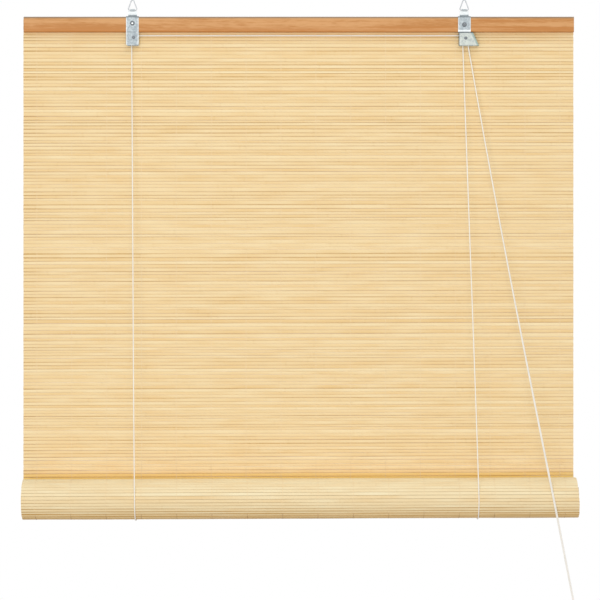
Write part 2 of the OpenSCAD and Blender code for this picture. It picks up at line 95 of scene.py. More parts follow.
class BlindSizes(PropertyGroup):
    """Sizes of the blind's pieces, in the CAD model's frame."""

    slat_pitch: length("Slat pitch", "Distance from slat to slat", 0.0059)
    slat_thick: length("Slat thickness", "Thickness of a slat", 0.0022)
    slat_clear: length("Slat clearance", "Room left between two slats", 0.00008)
    slat_spread: FloatProperty(
        name="Slat spread", description="How much the slats differ in width", default=0.15,
    )
    groove: length("Groove", "How far a slat's front corners are rounded away", 0.00032)
    ragged: length("Ragged ends", "How unevenly the slats are cut to length", 0.0004)
    ripple: length("Ripple", "How far a slat wanders from a straight line", 0.00012)
    panel_slats: IntProperty(name="Hanging slats", description="Slats above the roll", default=147)
    roll_slats: IntProperty(name="Wound slats", description="Slats in the roll", default=123)
    mat_width: length("Mat width", "Length of the slats", 1.0)
    mat_middle: length("Mat depth", "Depth of the mat's middle behind the rings", 0.0074)
    roll_radius: length("Roll radius", "Outer radius of the roll", 0.0375)
    turn_pitch: length("Turn pitch", "Distance from turn to turn of the roll", 0.0026)
    roll_shift: length("Roll shift", "How far the roll has crept to the right", 0.0035)
    roll_height: length("Roll height", "Height of the roll's axis", ROLL_AXIS[2])
    roll_bulge: length("Roll bulge", "How far the roll's lower slats stand out at its right end", 0.0021)
    lean: FloatProperty(name="Lean", description="Rise of the roll to the right, per metre", default=0.0040)
    thread_count: IntProperty(name="Threads", description="Number of binding threads", default=16)
    thread_inset: length("Thread inset", "Distance from the mat's edge to the first thread", 0.0245)
    thread_width: length("Thread width", "Width of a binding thread", 0.0008)
    thread_rise: length("Thread rise", "Thickness of a binding thread", 0.0003)
    cord_width: length("Cord width", "Diameter of the lift cord", 0.002)
    cord_lay: length("Cord lay", "Length of one diamond of the cord's braid", 0.0032)
    wire_width: length("Wire width", "Diameter of the ring wire", 0.0022)
    ring_width: length("Ring width", "Width of a ring between wire centres", 0.015)
    ring_height: length("Ring height", "Height of a ring between wire centres", 0.0184)
    ring_corner: length("Ring corner", "Radius of a ring's corners", 0.0026)
    sheet_edge: length("Sheet edge", "Rounding of the pressed sheet's edges", 0.00035)


class BlindColours(PropertyGroup):
    """Colours of the blind's finishes."""

    slat_front: colour("Slat front", "Pale face of a slat", (252, 232, 187))
    slat_golden: colour("Slat golden", "Golden face of a slat", (240, 204, 143))
    slat_back: colour("Slat back", "Pale back of a slat", (251, 237, 198))
    slat_back_golden: colour("Slat back golden", "Golden back of a slat", (238, 204, 148))
    # Painted shade: the golden, bounce-lit shade on slats just above the roll and at the roll's foot
    slat_amber: colour("Slat amber", "Browned face of a slat that lies close to the roll", (245, 211, 126))
    # Also the painted shade in the grooves between slats, along with the cane's darker skin
    slat_edge: colour("Slat edge", "Edges and fibres of a slat", (205, 158, 81))
    rail_wood: colour("Rail", "Wood of the head rail", (193, 129, 63))
    rail_pale: colour("Rail pale", "Pale streaks in the rail", (216, 159, 100))
    # Also the painted shade on the rail's foot
    rail_dark: colour("Rail dark", "Dark streaks in the rail", (196, 127, 58))
    # The colour of the rail's greyer top and its end grain
    rail_arris: colour("Rail arris", "Worn, greyer top of the rail", (147, 126, 101))
    zinc: colour("Zinc", "Zinc plated sheet", (184, 193, 196))
    zinc_dull: colour("Zinc dull", "Dull crystals in the zinc", (146, 157, 163))
    zinc_bright: colour("Zinc bright", "Zinc where it catches the light", (236, 240, 240))
    # Painted shade at the sheet's bends, under the lock's lip, along its left wall and round the screws, and
    # the steel's darker lines
    zinc_dark: colour("Zinc dark", "Zinc at its bends and round its screws", (92, 102, 108))
    lock_pale: colour("Lock pale", "Passivated zinc of the cord lock", (198, 203, 194))
    # Painted shade on the cord lock's folded edge
    lock_shade: colour("Lock shade", "The cord lock's folded edge", (124, 150, 142))
    steel: colour("Steel", "Bright steel wire", (204, 205, 208))
    rivet: colour("Rivet", "Dull steel of the screws and rivets", (128, 132, 136))
    cord: colour("Cord", "Cotton lift cord", (253, 249, 242))
    thread: colour("Thread", "Cotton binding thread", (248, 224, 182))
    # Painted shade on the binding threads at the roll's foot and just above the roll
    thread_shaded: colour("Thread soiled", "Binding thread where the roll has rubbed it", (152, 106, 62))
    floor: colour("Floor", "Studio floor", (214, 214, 214))


def linear(rgb):
    """A screen colour as linear light with full alpha, by the sRGB curve."""
    c = np.array(rgb[:3], float)
    lit = np.where(c <= 0.04045, c / 12.92, ((c + 0.055) / 1.055) ** 2.4)
    return (*lit.tolist(), 1.0)


class Wire:
    """One value in a material; arithmetic on it adds Math nodes."""

    def __init__(self, finish, socket):
        self.finish = finish
        self.socket = socket

    def math(self, operation, first, second=None):
        """Adds a Math node on one or two values."""
        values = {0: first} if second is None else {0: first, 1: second}
        return self.finish.node("ShaderNodeMath", {"operation": operation}, values)

    def __add__(self, other):
        return self.math("ADD", self, other)

    def __radd__(self, other):
        return self.math("ADD", other, self)

    def __sub__(self, other):
        return self.math("SUBTRACT", self, other)

    def __rsub__(self, other):
        return self.math("SUBTRACT", other, self)

    def __mul__(self, other):
        return self.math("MULTIPLY", self, other)

    def __rmul__(self, other):
        return self.math("MULTIPLY", other, self)

    def __abs__(self):
        return self.math("ABSOLUTE", self)

    def fraction(self):
        """What is left after the whole number below it."""
        return self.math("FRACT", self)

    def step(self, low, high):
        """0 below low and 1 above high, with a smooth rise between them."""
        return self.finish.node(
            "ShaderNodeMapRange",
            {"interpolation_type": "SMOOTHSTEP"},
            {"Value": self, "From Min": low, "From Max": high},
        )


class Finish:
    """A material on one Principled shader, wired in Python expressions."""

    def __init__(self, name):
        self.material = bpy.data.materials.new(name)
        self.material.use_nodes = True
        self.tree = self.material.node_tree
        self.shader = self.tree.nodes["Principled BSDF"]

    def put(self, socket, value):
        """Links a wire to a socket, or sets a plain value on it."""
        if isinstance(value, Wire):
            self.tree.links.new(value.socket, socket)
        else:
            socket.default_value = value

    def node(self, kind, settings, inputs, output=0):
        """Adds a node of that type, with its settings first and then its sockets' values or links."""
        made = self.tree.nodes.new(kind)
        for key, value in settings.items():
            setattr(made, key, value)
        for key, value in inputs.items():
            self.put(made.inputs[key], value)
        return Wire(self, made.outputs[output])

    def set(self, **sockets):
        """Sets the shader's sockets; an underscore stands for a blank in a socket's name."""
        for key, value in sockets.items():
            self.put(self.shader.inputs[key.replace("_", " ")], value)
        return self.material

    def attribute(self, name):
        """A value that the mesh holds at its points."""
        return self.node("ShaderNodeAttribute", {"attribute_name": name}, {}, "Fac")

    def axes(self):
        """The three object coordinates, in metres."""
        place = self.node("ShaderNodeTexCoord", {}, {}, "Object")
        return [self.node("ShaderNodeSeparateXYZ", {}, {0: place}, k) for k in range(3)]

    def vector(self, x, y, z):
        """Three values as one vector."""
        return self.node("ShaderNodeCombineXYZ", {}, {0: x, 1: y, 2: z})

    def noise(self, vector, detail=2.0, roughness=0.5):
        """Soft noise whose patches are about one unit of the vector across."""
        values = {"Vector": vector, "Scale": 1.0, "Detail": detail, "Roughness": roughness}
        return self.node("ShaderNodeTexNoise", {}, values)

    def mix(self, share, first, second):
        """The first colour, with that share of the second."""
        return self.node("ShaderNodeMix", {"data_type": "RGBA"}, {0: share, 6: first, 7: second}, 2)

    def bump(self, height, distance):
        """A relief of that height, in units of the distance in metres."""
        return self.node("ShaderNodeBump", {}, {"Height": height, "Distance": distance})


def finish_of(name, make):
    """The material of that name, made once from the scene's colours."""
    found = bpy.data.materials.get(name)
    return found if found else make(name, bpy.context.scene.blind_colours)


# The mat's left end, and how far in from it the slats' edges carry deeper painted shade
MAT_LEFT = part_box("mat_panel")[0].x
END_SHADE = 0.05


def bamboo(name, c):
    """Split bamboo: each slat has its own tone, which drifts along it, with long fibres, darker edges and a
    faint ring where the cane had a joint. The darker edges are partly the cane's own skin and partly painted
    shade in the grooves, deeper in some stretches and at the mat's left end. A slat's back is paler than its
    front, and a tone past the usual range paints the golden shade near the roll as amber on the front."""
    f = Finish(name)
    x = f.axes()[0]
    seed = f.attribute("seed")
    tone = f.attribute("tone")
    across = f.attribute("across")
    side = f.attribute("side")
    gap = f.attribute("gap")
    drift = f.noise(f.vector(x * 13.0, seed * 97.0, side), 1.0)
    fibre = f.noise(f.vector(x * 9.0, across * 5.0 + seed * 53.0, side * 3.0), 3.0, 0.55)
    hair = f.noise(f.vector(x * 30.0, across * 16.0 + seed * 31.0, side * 7.0), 3.0, 0.6)
    golden = (tone * 0.8 + drift * 0.6 + fibre * 0.3 - 0.35).step(0.0, 1.0)
    front = f.mix(golden, linear(c.slat_front), linear(c.slat_golden))
    # A tone past the usual range paints the golden shade near the roll in amber
    front = f.mix(tone.step(0.85, 1.45), front, linear(c.slat_amber))
    back = f.mix(golden, linear(c.slat_back), linear(c.slat_back_golden))
    face = f.mix(side, front, back)
    # The slats' darker edges: partly the cane's own skin and partly painted shade in the grooves, as deep as
    # each groove's gap value, deeper in some stretches and near the mat's left end
    patch = (f.noise(f.vector(x * 6.0, seed * 71.0, gap * 3.0), 2.0) + gap * 0.1).step(0.41, 0.67)
    cut = 1 - (x - MAT_LEFT).step(0.0, END_SHADE)
    rim = abs(across).step(0.52, 1.0) * gap * (patch * 0.75 + 0.25 + cut * 0.5)
    streaks = hair.step(0.55, 0.8) * 0.14
    joint = abs((x * 3.1 + seed * 17.0).fraction() - 0.5).step(0.492, 0.498) * 0.16
    dark = (rim + streaks + joint).step(-0.05, 1.25)
    base = f.mix(dark, face, linear(c.slat_edge))
    height = hair * 0.5 + fibre * 0.5 - joint
    return f.set(
        Base_Color=base,
        Roughness=0.56 + fibre * 0.16,
        Normal=f.bump(height, 0.0001),
        Specular_IOR_Level=0.22,
    )


def rail_wood(name, c):
    """Oiled wood sawn along the grain: long streaks that wander slowly, short flecks, fine pores, a foot
    darkened by painted shade, a greyer top and greyer end grain."""
    f = Finish(name)
    x, y, z = f.axes()
    low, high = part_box("head_rail")
    wander = f.noise(f.vector(x * 2.2, y * 8.0, z * 8.0), 2.0) * 0.016
    rings = f.noise(f.vector(x * 1.6, y * 120.0, (z + wander) * 150.0), 4.0, 0.6)
    pores = f.noise(f.vector(x * 34.0, y * 900.0, z * 900.0), 2.0)
    broad = f.noise(f.vector(x * 4.0, y * 10.0, z * 60.0), 2.0)
    flecks = f.noise(f.vector(x * 55.0, y * 300.0, z * 420.0), 3.0, 0.6)
    streak = (rings * 0.6 + broad * 0.8 + flecks * 0.5 - 0.45).step(0.34, 0.66)
    wood = f.mix(streak, linear(c.rail_pale), linear(c.rail_wood))
    # Painted shade on the rail's foot, mixed with the grain's dark rings and pores
    foot = 1 - z.step(low.z + 0.0020, low.z + 0.0105)
    dark = rings.step(0.5, 0.74) * 0.6 + pores.step(0.6, 0.8) * 0.2 + foot * 0.55
    wood = f.mix(dark.step(0.0, 1.0), wood, linear(c.rail_dark))
    # A greyer top and greyer end grain
    top = z.step(high.z - 0.0046, high.z - 0.0012)
    ends = x.step(high.x - 0.0004, high.x - 0.0001) + 1 - x.step(low.x + 0.0001, low.x + 0.0004)
    grey_and_highlight = top * 0.85 + ends * 0.7
    base = f.mix(grey_and_highlight.step(0.0, 1.0), wood, linear(c.rail_arris))
    return f.set(
        Base_Color=base,
        Roughness=0.42 + pores * 0.2,
        Normal=f.bump(rings * 0.6 + pores * 0.4, 0.00015),
        Specular_IOR_Level=0.4,
    )


# Where the hangers stand along the rail, an X between them that parts left from right, and how far the
# lock's folded edge leans out for each metre down
HANGER_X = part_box("right_hanger")[0].x / 2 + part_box("right_hanger")[1].x / 2
RIGHT_FROM = 0.200
LOCK_SLOPE = 0.4583


def zinc_sheet(name, c):
    """Zinc plated steel sheet: a spangle of dull and bright crystals with fine rolling scratches, painted
    shade in its bends, round its screws and rivets, under the lock's lip and along the lock's left wall and
    folded edge, painted highlights at the eyes, the side edges and the right hanger's lower lip, and paler on
    the cord lock."""
    f = Finish(name)
    x, y, z = f.axes()
    spangle = f.node(
        "ShaderNodeTexVoronoi", {"feature": "F1"}, {"Vector": f.vector(x, y, z), "Scale": 420.0}, "Color"
    )
    grey = f.node("ShaderNodeSeparateColor", {}, {0: spangle}, 0)
    cloud = f.noise(f.vector(x * 160.0, y * 160.0, z * 160.0), 3.0)
    scratch = f.noise(f.vector(x * 2600.0, y * 900.0, z * 90.0), 2.0)
    dull = (grey * 0.45 + cloud * 0.75 - 0.1).step(0.1, 0.95)
    base = f.mix(dull, linear(c.zinc), linear(c.zinc_dull))
    rail_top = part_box("head_rail")[1].z
    rail_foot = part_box("head_rail")[0].z
    lock_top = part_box("lock_housing")[1].z
    right = x.step(RIGHT_FROM, RIGHT_FROM + 0.001)
    on_lock = right * (1 - z.step(lock_top - 0.0008, lock_top - 0.0002))
    base = f.mix(on_lock * (0.95 - dull * 0.5), base, linear(c.lock_pale))
    corner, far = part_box("lock_housing")
    # Painted shade along the lock's folded edge
    slant = LOCK_SLOPE * (z - corner.z) + x
    folded = on_lock * slant.step(far.x - 0.0060, far.x - 0.0006) * 0.75
    base = f.mix(folded, base, linear(c.lock_shade))
    # Painted shade: under the lock's lip, along its left wall and in the hangers' bends over the rail's top
    shut = right * (z.step(lock_top - 0.0018, lock_top - 0.0008) - z.step(lock_top, lock_top + 0.0006))
    wall = on_lock * (1 - x.step(corner.x + 0.0004, corner.x + 0.0016))
    bend = z.step(rail_top - 0.0032, rail_top - 0.0004) - z.step(rail_top + 0.0022, rail_top + 0.0046)
    # Painted highlights: the right hanger's lower lip, the eyes above the rail, greyer on their curl, and the
    # hangers' side edges
    lower = z.step(rail_foot - 0.0012, rail_foot + 0.0002) - z.step(rail_foot + 0.0028, rail_foot + 0.0042)
    curl = z.step(rail_top + 0.0095, rail_top + 0.0112)
    glint = z.step(rail_top + 0.0026, rail_top + 0.0052) - curl * 0.55 + right * lower
    rim = abs(abs(x) - HANGER_X).step(0.0086, 0.0100) * (1 - on_lock) * (1 - bend)
    base = f.mix((glint * 0.7 + rim * 0.45).step(0.0, 1.0), base, linear(c.zinc_bright))
    # Painted shade, with dark rings round the screws and rivets
    painted_shade = bend * 0.55 + shut * 0.8 + wall * 0.8
    for node in ("left_hanger_screw", "right_hanger_screw", "left_axle", "right_axle"):
        corner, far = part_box(node)
        off_x = x - (corner.x + far.x) / 2
        off_z = z - (corner.z + far.z) / 2
        edge = (far.x - corner.x) / 2
        painted_shade = painted_shade + (1 - (off_x * off_x + off_z * off_z).step(edge**2, (edge + 0.0013) ** 2)) * 0.8
    base = f.mix(painted_shade.step(0.0, 1.0), base, linear(c.zinc_dark))
    return f.set(
        Base_Color=base,
        Metallic=0.3,
        Roughness=0.42 + grey * 0.14 + scratch * 0.1,
        Normal=f.bump(scratch * 0.4 + cloud * 0.6, 0.00006),
    )


def bright_steel(name, c):
    """Drawn steel wire: bright, with fine lines along the drawing."""
    return drawn_steel(name, c.steel, c.zinc_dull, 0.4)


def dull_steel(name, c):
    """Turned steel of screws and rivets: dull, with fine lines, and a painted highlight in the middle of one
    screw.
    """
    return drawn_steel(name, c.rivet, c.zinc_dark, 0.6, c.zinc_bright)


# The painted highlight on the left screw: how far it lies below the head's middle, and the radii within
# which it is fully bright and past which it is gone
HIGHLIGHT_DROP = 0.0004
HIGHLIGHT_CORE = 0.0010
HIGHLIGHT_EDGE = 0.0019


def drawn_steel(name, tint, shade, metal, grey_and_highlight=None):
    """Steel with fine darker lines, and a painted highlight on the left screw if its colour is given."""
    f = Finish(name)
    x, y, z = f.axes()
    lines = f.noise(f.vector(x * 1400.0, y * 1400.0, z * 260.0), 3.0)
    base = f.mix(lines.step(0.35, 0.8) * 0.5, linear(tint), linear(shade))
    if grey_and_highlight:
        # The painted highlight on the left screw's domed head
        low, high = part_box("left_hanger_screw")
        off_x = x - (low.x + high.x) / 2
        off_z = z - (low.z + high.z) / 2 + HIGHLIGHT_DROP
        spot = 1 - (off_x * off_x + off_z * off_z).step(HIGHLIGHT_CORE**2, HIGHLIGHT_EDGE**2)
        base = f.mix(spot, base, linear(grey_and_highlight))
    return f.set(
        Base_Color=base,
        Metallic=metal,
        Roughness=0.34 + lines * 0.16,
        Normal=f.bump(lines, 0.00003),
    )


def cotton(name, tint, painted_shade_tint):
    """Spun cotton: soft matt fibres, a little darker between them, and painted shade in blotches where the
    mesh marks it.
    """
    f = Finish(name)
    x, y, z = f.axes()
    fibre = f.noise(f.vector(x * 1800.0, y * 1800.0, z * 700.0), 3.0, 0.6)
    blotch = f.noise(f.vector(x * 40.0, y * 40.0, z * 40.0), 2.0)
    shade = [v * k for v, k in zip(tint, (0.93, 0.92, 0.90))]
    base = f.mix((fibre * 0.6 + blotch * 0.5 - 0.2).step(0.15, 0.95), linear(tint), linear(shade))
    # Painted shade where the mesh marks it, in blotches
    base = f.mix(f.attribute("rubbed") * (0.6 + blotch * 0.4), base, linear(painted_shade_tint))
    return f.set(
        Base_Color=base,
        Roughness=0.82 + fibre * 0.12,
        Normal=f.bump(fibre, 0.00012),
        Sheen_Weight=0.25,
        Specular_IOR_Level=0.2,
    )


def cord_cotton(name, c):
    """The lift cord's white cotton."""
    return cotton(name, c.cord, c.thread_shaded)


def thread_cotton(name, c):
    """The binding threads' unbleached cotton."""
    return cotton(name, c.thread, c.thread_shaded)


def shell_volume(points, faces):
    """Six times the volume under each loop's faces, over triangles fanned from each face's first corner."""
    corners = points[faces]
    first = np.broadcast_to(corners[:, :, :1], corners[:, :, 1:-1].shape)
    return np.einsum("lfci,lfci->l", first, np.cross(corners[:, :, 1:-1], corners[:, :, 2:]))


def outward(points, quads, caps):
    """Each loop's faces turned to point outwards, by the sign of the volume that they close in."""
    inward = shell_volume(points, quads) + shell_volume(points, caps) < 0
    quads[inward] = quads[inward][..., ::-1]
    caps[inward] = caps[inward][..., ::-1]
    return quads.reshape(-1, quads.shape[-1]).tolist() + caps.reshape(-1, caps.shape[-1]).tolist()


def loft_faces(shape, ring_closed=False):
    """Quads of each loop, from its rings and profile points, and the two end caps of each open loop."""
    loops, rings, sides = shape
    index = np.arange(loops * rings * sides).reshape(shape)
    ahead = np.roll(index, -1, axis=1) if ring_closed else index[:, 1:]
    here = index if ring_closed else index[:, :-1]
    quads = np.stack([here, np.roll(here, -1, axis=2), np.roll(ahead, -1, axis=2), ahead], axis=-1)
    ends = [] if ring_closed else [index[:, 0, ::-1], index[:, -1]]
    caps = np.stack(ends, axis=1) if ends else np.zeros((loops, 0, sides), int)
    return quads.reshape(loops, -1, 4), caps


def loft_piece(name, points, finish, slot, sharp=40.0, ring_closed=False, **attributes):
    """A mesh object from points laid out as loops, rings, profile points and x, y, z."""
    shape = points.shape[:3]
    flat = points.reshape(-1, 3)
    quads, caps = loft_faces(shape, ring_closed)
    mesh = bpy.data.meshes.new(name)
    mesh.from_pydata(flat.tolist(), [], outward(flat, quads, caps))
    for key, values in attributes.items():
        layer = mesh.attributes.new(key, "FLOAT", "POINT")
        layer.data.foreach_set("value", np.broadcast_to(values, shape).astype(np.float32).ravel())
    mesh.polygons.foreach_set("use_smooth", np.ones(len(mesh.polygons), bool))
    mesh.set_sharp_from_angle(angle=math.radians(sharp))
    mesh.materials.append(finish)
    piece = bpy.data.objects.new(name, mesh)
    bpy.context.scene.collection.objects.link(piece)
    return piece


def held(piece, body, *nodes):
    """Lets a piece ride on a CAD body in the place of those nodes."""
    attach(piece, body)
    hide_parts(*nodes)
    return piece


def gathers(piece):
    """Reads a held piece's points and gives it a mesh of its own."""
    spots = np.empty(3 * len(piece.data.vertices), np.float32)
    piece.data.vertices.foreach_get("co", spots)
    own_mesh(piece)


def leaned(points, sizes):
    """The same points with the mat's lean: each rises by the lean times its X, not at all at the rail and
    fully at the roll."""
    top = sizes.roll_height + sizes.panel_slats * sizes.slat_pitch
    share = np.clip((top - points[..., 2]) / (top - sizes.roll_height), 0, 1)
    lift = sizes.lean * points[..., 0] * share
    return points + lift[..., None] * np.array(UP)


# How many spreads a slat may be wider or narrower than the average
WIDTH_LIMIT = 1.7


def slat_widths(count, sizes, rng):
    """Uneven slat widths that add up to the same mat, and the length along it to each slat's middle."""
    width = 1 + sizes.slat_spread * np.clip(rng.normal(0, 1, count), -WIDTH_LIMIT, WIDTH_LIMIT)
    width *= count * sizes.slat_pitch / width.sum()
    return width, np.cumsum(width) - width / 2


def panel_frames(sizes, rng):
    """Centres of the hanging slats, from the roll up, with the way to their back, the way across them and
    their widths."""
    n = sizes.panel_slats
    width, run = slat_widths(n, sizes, rng)
    centre = np.stack([np.full(n, sizes.mat_middle), sizes.roll_height + run], axis=-1)
    return centre, np.tile([1.0, 0.0], (n, 1)), np.tile([0.0, 1.0], (n, 1)), width


def roll_frames(sizes, rng):
    """Centres of the wound slats along a spiral whose radius falls by one turn pitch in each turn: from the
    back of the roll, under it, up its front and on, with the way outwards, the way across each slat and the
    widths."""
    start = sizes.roll_radius - sizes.slat_thick / 2
    shrink = sizes.turn_pitch / (2 * math.pi)
    width, run = slat_widths(sizes.roll_slats, sizes, rng)
    angle = (start - np.sqrt(start**2 - 2 * shrink * run)) / shrink
    out = np.stack([np.cos(angle), -np.sin(angle)], axis=-1)
    cross = np.stack([np.sin(angle), np.cos(angle)], axis=-1)
    axis = np.array([sizes.mat_middle + sizes.slat_thick / 2 - sizes.roll_radius, sizes.roll_height])
    return axis + out * (start - shrink * angle)[:, None], out, cross, width


# Tones of the slats: the middle one, how far they scatter, and the share of its two neighbours' scatter that
# each makes up for
TONE_MIDDLE = 0.5
TONE_SPREAD = 0.095
TONE_EVENING = 0.42


def even_tones(rng, count):
    """Random tones that differ from slat to slat but keep an even average over any few of them."""
    raw = rng.normal(0, 1, count + 2)
    even = raw[1:-1] - TONE_EVENING * (raw[:-2] + raw[2:])
    return np.clip(TONE_MIDDLE + TONE_SPREAD * even, 0, 1)


# Rings along a slat, how unevenly the slats have shrunk in width, the limit of their uneven cut in units of
# half the ragged size, the waves per metre of their ripple, and its shares across a slat and out of the mat
SLAT_RINGS = 26
SLAT_SHRINK = 0.00008
CUT_LIMIT = 0.7
RIPPLE_WAVES = (1.3, 2.9, 5.1)
RIPPLE_ACROSS = 0.4
RIPPLE_OUT = 2.2


def slat_points(frames, sizes, rng, ends, back):
    """Slats as lofts: a crowned section, whose flat back is that share of the width to each side, is carried
    along X, with a slow ripple of three sines for each slat and unevenly cut ends, which have crept along X
    by the two given amounts. Gives the points and the values that the bamboo reads."""
    centre, out, cross, pitch = frames
    count = len(centre)
    flank = 0.5 - sizes.groove / sizes.slat_pitch
    across = np.array([-0.5, -flank, -flank + 0.07, -0.14, 0.14, flank - 0.07, flank, 0.5, back, -back])
    depth = np.array([-0.3, -0.74, -0.92, -1.0, -1.0, -0.92, -0.74, -0.3, 1.0, 1.0])
    width = pitch - sizes.slat_clear - np.abs(rng.normal(0, SLAT_SHRINK, count))
    cut = sizes.ragged / 2 * np.clip(rng.normal(0, 1, (2, count)), -CUT_LIMIT, CUT_LIMIT)
    left = ends[0] - sizes.mat_width / 2 + cut[0]
    right = ends[1] + sizes.mat_width / 2 + cut[1]
    along = np.linspace(0, 1, SLAT_RINGS)
    x = left[:, None] + (right - left)[:, None] * along
    phase = rng.uniform(0, 2 * math.pi, (count, 3, 1))
    waves = np.sin(np.array(RIPPLE_WAVES)[None, :, None] * 2 * math.pi * x[:, None, :] + phase)
    ripple = sizes.ripple * waves.mean(axis=1)
    bow = RIPPLE_OUT * sizes.ripple * np.roll(waves, 1, axis=1).mean(axis=1)
    reach = width[:, None, None] * across + RIPPLE_ACROSS * ripple[:, :, None]
    rise = sizes.slat_thick / 2 * depth + bow[:, :, None]
    y = centre[:, 0, None, None] + out[:, 0, None, None] * rise + cross[:, 0, None, None] * reach
    z = centre[:, 1, None, None] + out[:, 1, None, None] * rise + cross[:, 1, None, None] * reach
    points = leaned(np.stack([np.broadcast_to(x[:, :, None], y.shape), y, z], axis=-1), sizes)
    # How dark each groove's edges are: partly the cane's own skin and partly painted shade
    gap = rng.uniform(0.15, 1.0, count + 1)
    values = {
        "gap": np.where(across < 0, gap[:-1, None], gap[1:, None])[:, None, :],
        "seed": rng.uniform(0, 1, count)[:, None, None],
        "tone": even_tones(rng, count)[:, None, None],
        "across": 2 * across[None, None, :],
        "side": (depth > 0.5).astype(float)[None, None, :],
    }
    return points, values


# A thread's points along each slat, as shares of the slat's width, how far out it stays in the groove, as a
# share of half the slat's thickness, and its sides
THREAD_STEPS = (-0.5, -0.3, 0.3)
THREAD_DIP = 0.45
THREAD_SIDES = 6


def thread_points(frames, sizes, face, shift):
    """Binding threads as flat tubes: each dips into the groove before a slat and goes over it, on the side
    that face gives, -1 for the front or inside and 1 for the back or outside."""
    centre, out, cross, pitch = frames
    step = (sizes.mat_width - 2 * sizes.thread_inset) / (sizes.thread_count - 1)
    column = shift - sizes.mat_width / 2 + sizes.thread_inset + step * np.arange(sizes.thread_count)
    over = face * (sizes.slat_thick + sizes.thread_rise) / 2
    reach = np.array(THREAD_STEPS) * pitch[:, None]
    lift = np.array([THREAD_DIP * face * sizes.slat_thick / 2, over, over])
    path = centre[:, None, :] + out[:, None, :] * lift[:, None] + cross[:, None, :] * reach[:, :, None]
    path = path.reshape(-1, 2)
    way = np.repeat(out, len(THREAD_STEPS), axis=0)
    turn = np.arange(THREAD_SIDES) / THREAD_SIDES * 2 * math.pi
    side = np.cos(turn) * sizes.thread_width / 2
    thick = np.sin(turn) * sizes.thread_rise / 2
    x = column[:, None, None] + side[None, None, :] + np.zeros((1, len(path), 1))
    y = np.broadcast_to(path[:, 0, None] + way[:, 0, None] * thick, x.shape)
    z = np.broadcast_to(path[:, 1, None] + way[:, 1, None] * thick, x.shape)
    return leaned(np.stack([x, y, z], axis=-1), sizes)


def evenly(path, step):
    """The same line with its points evenly spaced."""
    gone = np.concatenate([[0], np.cumsum(np.linalg.norm(np.diff(path, axis=0), axis=1))])
    count = max(3, int(round(gone[-1] / step)) + 1)
    at = np.linspace(0, gone[-1], count)
    return np.stack([np.interp(at, gone, path[:, k]) for k in range(3)], axis=-1)


# The braid's strands each way round, and the share of the cord's radius that they rise and fall by
BRAID_STRANDS = 3
BRAID_RELIEF = 0.07


def cord_points(path, sizes, reference=(0.0, 1.0, 0.0), step=0.0008, sides=12):
    """A braided cord along a line: a tube whose radius rises and falls with the product of two opposite
    helices, which makes the braid's diamonds. Its highest strands reach the cord's full radius."""
    line = evenly(np.asarray(path, float), step)
    ahead = np.gradient(line, axis=0)
    ahead /= np.linalg.norm(ahead, axis=1, keepdims=True)
    u = np.cross(ahead, reference)
    u /= np.linalg.norm(u, axis=1, keepdims=True)
    v = np.cross(u, ahead)
    turn = np.arange(sides) / sides * 2 * math.pi
    along = np.arange(len(line))[:, None] * step / sizes.cord_lay * 2 * math.pi
    braid = np.cos(BRAID_STRANDS * turn + along) * np.cos(BRAID_STRANDS * turn - along)
    radius = sizes.cord_width / 2 * (1 - BRAID_RELIEF + BRAID_RELIEF * braid)
    ring = np.cos(turn)[None, :, None] * u[:, None, :] + np.sin(turn)[None, :, None] * v[:, None, :]
    return (line[:, None, :] + radius[:, :, None] * ring)[None]


def arc(centre, radius, start, end, steps=40):
    """Points on a circle in the X-Z plane, from one angle to another, in degrees."""
    a = np.radians(np.linspace(start, end, steps))
    x, y, z = centre
    return np.stack([x + radius * np.cos(a), np.full(steps, y), z + radius * np.sin(a)], axis=-1)


# The cords' route, in metres, as in the CAD model
LEFT_AXLE = JOINTS["left_pulley_spin"]["pos_m"][::2]
RIGHT_AXLE = JOINTS["right_pulley_spin"]["pos_m"][::2]
LEFT_SHEAVE = 0.0039
RIGHT_SHEAVE = 0.0050
FRONT_GROOVE = -0.0028
REAR_GROOVE = -0.0002
CORD_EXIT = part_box("lock_housing")[0].z - 0.0020
STRAND_BOW = 0.052
PULL_SAG = 0.0033
SLING_RADIUS = 0.0388
SLING_AXIS = ROLL_AXIS[1:]
LEFT_SLING = -0.2930
RIGHT_SLING = 0.3230
SOFT_GAP = 0.0003
REAR_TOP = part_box("left_rear_strand")[1].z
PULL_EXIT = np.array([0.4558, -0.0690, ROLL_AXIS[2]])
PULL_BESIDE = np.array([0.0018, 0.0012, 0.0])
PULL_RUN = np.array([0.0375, 0.0, -0.1940])
PULL_DROP = np.array([0.0, 0.0, -0.0020])

# Points along a taut run, a sling and the pull cord's free run, and the step between a guided run's rings
LINE_POINTS = 200
SLING_POINTS = 60
PULL_POINTS = 24
GUIDED_STEP = 0.0003

# Knots: the pull knot's radius, their core's radius, the step between rings, the points per turn, how
# squarely they swell, the turns of each kind, the pull knot's tails and both ends of a rear knot's tail
KNOT_RADIUS = 0.0040
KNOT_CORE = 0.0004
KNOT_STEP = 0.0004
KNOT_POINTS = 28
KNOT_SWELL = 0.35
PULL_TURNS = 3.5
REAR_TURNS = 1.6
TAIL_START = 0.0004
TAIL_SPREAD = 0.0012
TAIL_LENGTH = 0.0216
TAIL_POINTS = 12
REAR_TAIL = np.array([[0.0006, 0.0, -0.0010], [0.0012, 0.0, 0.0]])


